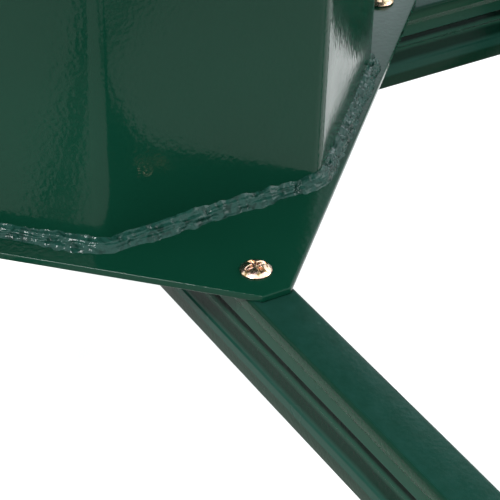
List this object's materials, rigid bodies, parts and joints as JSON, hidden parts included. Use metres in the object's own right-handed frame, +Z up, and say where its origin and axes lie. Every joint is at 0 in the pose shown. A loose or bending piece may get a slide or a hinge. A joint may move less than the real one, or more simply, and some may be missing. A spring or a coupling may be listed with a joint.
{
  "type": "wheelbarrow",
  "caption": "Steel wheelbarrow with an eight-sided welded tub on a square plate over crossed box beams, two handles and one pneumatic wheel.",
  "frame": {"origin": "on the ground, under the middle of the overall length and width", "axes": "+X forward to the wheel, +Y left, +Z up"},
  "size_m": [1.46, 0.689, 0.679],
  "materials": {
    "green_paint": "gloss powder coat, dark green",
    "weld_bead": "gloss powder coat over a rough weld",
    "yellow_zinc": "yellow-passivated zinc plate",
    "white_zinc": "clear zinc plate",
    "black_plastic": "moulded, fine texture",
    "grip_rubber": "ribbed soft rubber",
    "foot_rubber": "moulded hard rubber",
    "rim_paint": "silver enamel",
    "bearing_steel": "ground bearing steel",
    "seal_rubber": "smooth rubber",
    "tyre_rubber": "moulded tread rubber",
    "tube_rubber": "butyl tube",
    "valve_brass": "bare brass"
  },
  "bodies": {
    "frame": {"base_plate": "green_paint", "tub_well": "green_paint", "tub_hopper": "green_paint", "rim_tube": "green_paint", "spine_beam": "green_paint", "cross_beam_left": "green_paint", "cross_beam_right": "green_paint", "beam_clips": "green_paint", "front_bridge": "green_paint", "bridge_blocks": "green_paint", "rear_tie": "green_paint", "handle_tube_left": "green_paint", "handle_tube_right": "green_paint", "leg_left": "green_paint", "leg_right": "green_paint", "side_stay_left": "green_paint", "side_stay_right": "green_paint", "front_brace_left": "green_paint", "front_brace_right": "green_paint", "axle_bracket_left": "green_paint", "axle_bracket_right": "green_paint", "base_weld": "weld_bead", "seam_weld": "weld_bead", "plate_screws": "yellow_zinc", "plate_nuts": "white_zinc", "frame_bolts": "white_zinc", "frame_washers": "white_zinc", "frame_nuts": "white_zinc", "bolt_saddles": "white_zinc", "tie_pad": "white_zinc", "stay_bolts": "white_zinc", "stay_nuts": "white_zinc", "axle_bolt": "white_zinc", "axle_nut": "white_zinc", "axle_washers": "white_zinc", "axle_spacers": "white_zinc", "hub_sleeve": "white_zinc", "beam_end_caps": "black_plastic", "grip_left": "grip_rubber", "grip_right": "grip_rubber", "foot_shoe_left": "foot_rubber", "foot_shoe_right": "foot_rubber", "bearing_inner_races": "bearing_steel"},
    "wheel": {"tyre": "tyre_rubber", "inner_tube": "tube_rubber", "rim_half_left": "rim_paint", "rim_half_right": "rim_paint", "rim_bolts": "white_zinc", "rim_nuts": "white_zinc", "hub": "rim_paint", "bearing_outer_races": "bearing_steel", "bearing_balls": "bearing_steel", "bearing_seals": "seal_rubber", "valve_stem": "valve_brass", "valve_cap": "black_plastic"}
  },
  "joints": [
    {"name": "wheel_spin", "type": "hinge", "parent": "frame", "child": "wheel", "pos_m": [0.53, 0, 0.2], "axis": [0, 1, 0], "continuous": true}
  ]
}
